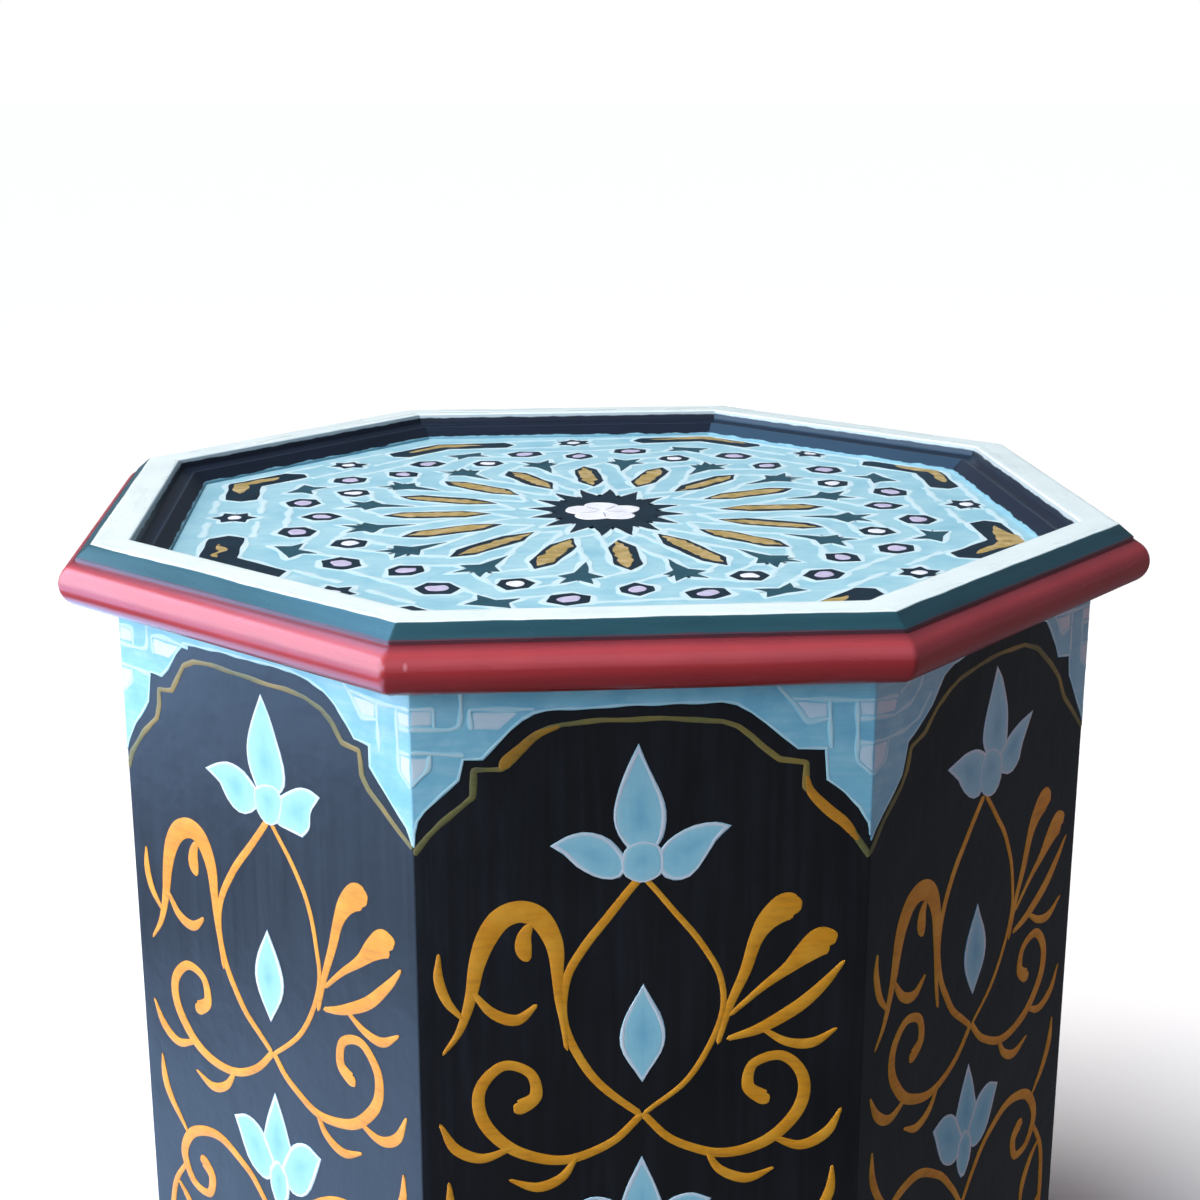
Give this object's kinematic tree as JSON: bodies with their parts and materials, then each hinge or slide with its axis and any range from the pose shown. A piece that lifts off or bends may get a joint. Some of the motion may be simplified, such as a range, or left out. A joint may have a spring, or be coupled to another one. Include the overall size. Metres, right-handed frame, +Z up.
{
  "type": "moroccan kursi stool",
  "caption": "Octagonal painted wooden stool: mitred side panels with stepped arches between the feet, a sunk tray top and a moulded rim.",
  "frame": {"origin": "on the floor, under the middle of the stool", "axes": "+Z up along the stool's middle line, -Y towards the front panel, +X to the right seen from the front"},
  "size_m": [0.467, 0.467, 0.46],
  "materials": {
    "panel_paint": "brushed semi-gloss black paint over cedar boards",
    "rim_paint": "brushed semi-gloss red paint, with a teal bevel and a pale flat",
    "cove_paint": "brushed semi-gloss black paint",
    "top_paint": "brushed satin light blue paint with traditional star pattern",
    "raw_cedar": "sawn and planed, bare",
    "zinc_steel": "bright zinc plate",
    "strap_paint": "brushed satin blue paint",
    "line_paint": "brushed satin white paint",
    "gold_paint": "brushed satin ochre gold paint",
    "lilac_paint": "brushed satin lilac paint"
  },
  "bodies": {
    "root": {"side_panel_1": "panel_paint", "side_panel_2": "panel_paint", "side_panel_3": "panel_paint", "side_panel_4": "panel_paint", "side_panel_5": "panel_paint", "side_panel_6": "panel_paint", "side_panel_7": "panel_paint", "side_panel_8": "panel_paint", "corner_block_1": "raw_cedar", "corner_block_2": "raw_cedar", "corner_block_3": "raw_cedar", "corner_block_4": "raw_cedar", "corner_block_5": "raw_cedar", "corner_block_6": "raw_cedar", "corner_block_7": "raw_cedar", "corner_block_8": "raw_cedar", "top_cleat_1": "raw_cedar", "top_cleat_2": "raw_cedar", "top_cleat_3": "raw_cedar", "top_cleat_4": "raw_cedar", "top_cleat_5": "raw_cedar", "top_cleat_6": "raw_cedar", "top_cleat_7": "raw_cedar", "top_cleat_8": "raw_cedar", "top_screw_1": "zinc_steel", "top_screw_2": "zinc_steel", "top_screw_3": "zinc_steel", "top_screw_4": "zinc_steel", "top_screw_5": "zinc_steel", "top_screw_6": "zinc_steel", "top_screw_7": "zinc_steel", "top_screw_8": "zinc_steel", "top_plank_1": "top_paint", "top_plank_2": "top_paint", "top_plank_3": "top_paint", "top_plank_4": "top_paint", "plank_batten_left": "raw_cedar", "plank_batten_right": "raw_cedar", "rim_moulding_1": "rim_paint", "rim_moulding_2": "rim_paint", "rim_moulding_3": "rim_paint", "rim_moulding_4": "rim_paint", "rim_moulding_5": "rim_paint", "rim_moulding_6": "rim_paint", "rim_moulding_7": "rim_paint", "rim_moulding_8": "rim_paint", "cove_strip_1": "cove_paint", "cove_strip_2": "cove_paint", "cove_strip_3": "cove_paint", "cove_strip_4": "cove_paint", "cove_strip_5": "cove_paint", "cove_strip_6": "cove_paint", "cove_strip_7": "cove_paint", "cove_strip_8": "cove_paint"}
  },
  "joints": []
}
